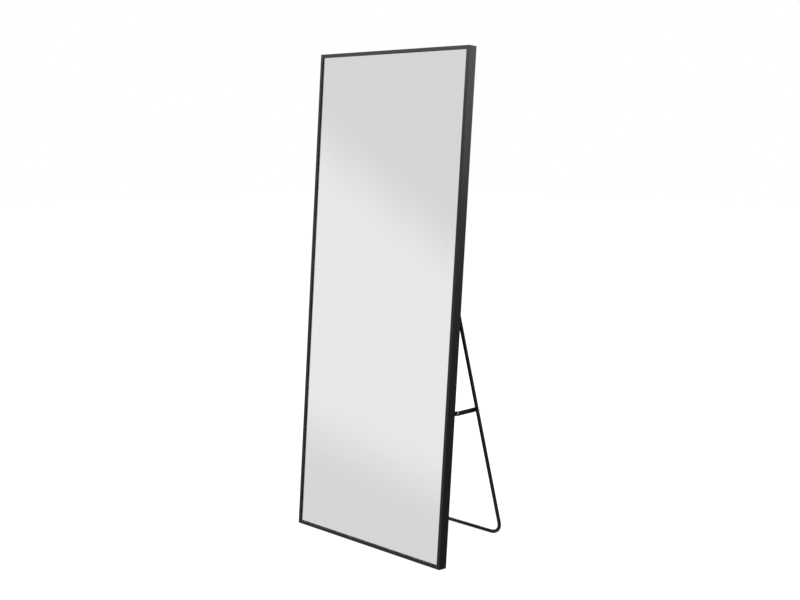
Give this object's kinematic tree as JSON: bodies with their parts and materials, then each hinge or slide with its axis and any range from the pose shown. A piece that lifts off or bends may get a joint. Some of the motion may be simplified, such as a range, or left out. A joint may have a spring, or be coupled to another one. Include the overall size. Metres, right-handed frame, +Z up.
{
  "type": "leaning floor mirror",
  "caption": "Tall framed floor mirror that leans back on a folding U-shaped tube leg, held open by a folding stay on each side.",
  "frame": {"origin": "centre of the bounding box's bottom, on the floor", "axes": "+X to the right of a viewer who faces the glass, +Y backwards from the glass towards the leg, +Z up"},
  "size_m": [0.7, 0.423, 1.6988],
  "materials": {
    "frame_black": "satin black coating",
    "key_metal": "mill finish",
    "screw_steel": "black zinc",
    "seal": "matt",
    "mirror_glass": "silvered",
    "foam": "closed foam",
    "back_board": "dark board",
    "bracket_black": "satin black",
    "plate_steel": "zinc plated",
    "nylon": "black nylon",
    "rivet_steel": "plain steel",
    "pad_rubber": "matt rubber",
    "leg_black": "satin black",
    "link_black": "satin black"
  },
  "bodies": {
    "mirror": {"rail_left": "frame_black", "rail_right": "frame_black", "rail_top": "frame_black", "rail_bottom": "frame_black", "corner_key_bottom_left": "key_metal", "corner_key_bottom_right": "key_metal", "corner_key_top_left": "key_metal", "corner_key_top_right": "key_metal", "corner_set_screws": "screw_steel", "glazing_strips": "seal", "mirror_glass": "mirror_glass", "foam_strips": "foam", "back_board": "back_board", "back_board_screws": "screw_steel", "hinge_bracket_left": "bracket_black", "hinge_bracket_right": "bracket_black", "hinge_backing_plate_left": "plate_steel", "hinge_backing_plate_right": "plate_steel", "hinge_bracket_screws": "screw_steel", "hinge_bolt_left": "screw_steel", "hinge_bolt_right": "screw_steel", "hinge_nut_left": "screw_steel", "hinge_nut_right": "screw_steel", "hinge_washers": "nylon", "stay_bracket_left": "bracket_black", "stay_bracket_right": "bracket_black", "stay_backing_plate_left": "plate_steel", "stay_backing_plate_right": "plate_steel", "stay_bracket_screws": "screw_steel", "stay_frame_rivet_left": "rivet_steel", "stay_frame_rivet_right": "rivet_steel", "floor_pad_left": "pad_rubber", "floor_pad_right": "pad_rubber", "hanger_plate_left": "bracket_black", "hanger_plate_right": "bracket_black", "hanger_screws": "screw_steel"},
    "leg": {"leg_tube": "leg_black", "leg_plug_left": "nylon", "leg_plug_right": "nylon", "leg_stay_rivet_left": "rivet_steel", "leg_stay_rivet_right": "rivet_steel", "leg_stay_spacer_left": "nylon", "leg_stay_spacer_right": "nylon"},
    "frame_link_left": {"frame_link_left": "link_black", "middle_rivet_inner_left": "rivet_steel"},
    "leg_link_left": {"leg_link_left": "link_black", "middle_rivet_outer_left": "rivet_steel"},
    "frame_link_right": {"frame_link_right": "link_black", "middle_rivet_inner_right": "rivet_steel"},
    "leg_link_right": {"leg_link_right": "link_black", "middle_rivet_outer_right": "rivet_steel"}
  },
  "joints": [
    {"name": "leg_fold", "type": "hinge", "parent": "mirror", "child": "leg", "pos_m": [0, -0.08917, 1.02205], "axis": [-1, 0, 0], "range_deg": [0, 20.61]},
    {"name": "frame_link_left_fold", "type": "hinge", "parent": "mirror", "child": "frame_link_left", "pos_m": [0, -0.13126, 0.48119], "axis": [-1, 0, 0], "range_deg": [0, 94.46]},
    {"name": "leg_link_left_fold", "type": "hinge", "parent": "leg", "child": "leg_link_left", "pos_m": [0, 0.06755, 0.4812], "axis": [1, 0, 0], "range_deg": [0, 106.16]},
    {"name": "frame_link_right_fold", "type": "hinge", "parent": "mirror", "child": "frame_link_right", "pos_m": [0, -0.13126, 0.48119], "axis": [-1, 0, 0], "range_deg": [0, 94.46]},
    {"name": "leg_link_right_fold", "type": "hinge", "parent": "leg", "child": "leg_link_right", "pos_m": [0, 0.06755, 0.4812], "axis": [1, 0, 0], "range_deg": [0, 106.16]}
  ],
  "couplings": [
    {"joint": "frame_link_left_fold", "follows": "leg_fold", "ratio": 4.5829},
    {"joint": "leg_link_left_fold", "follows": "leg_fold", "ratio": 5.1507},
    {"joint": "frame_link_right_fold", "follows": "leg_fold", "ratio": 4.5829},
    {"joint": "leg_link_right_fold", "follows": "leg_fold", "ratio": 5.1507}
  ]
}
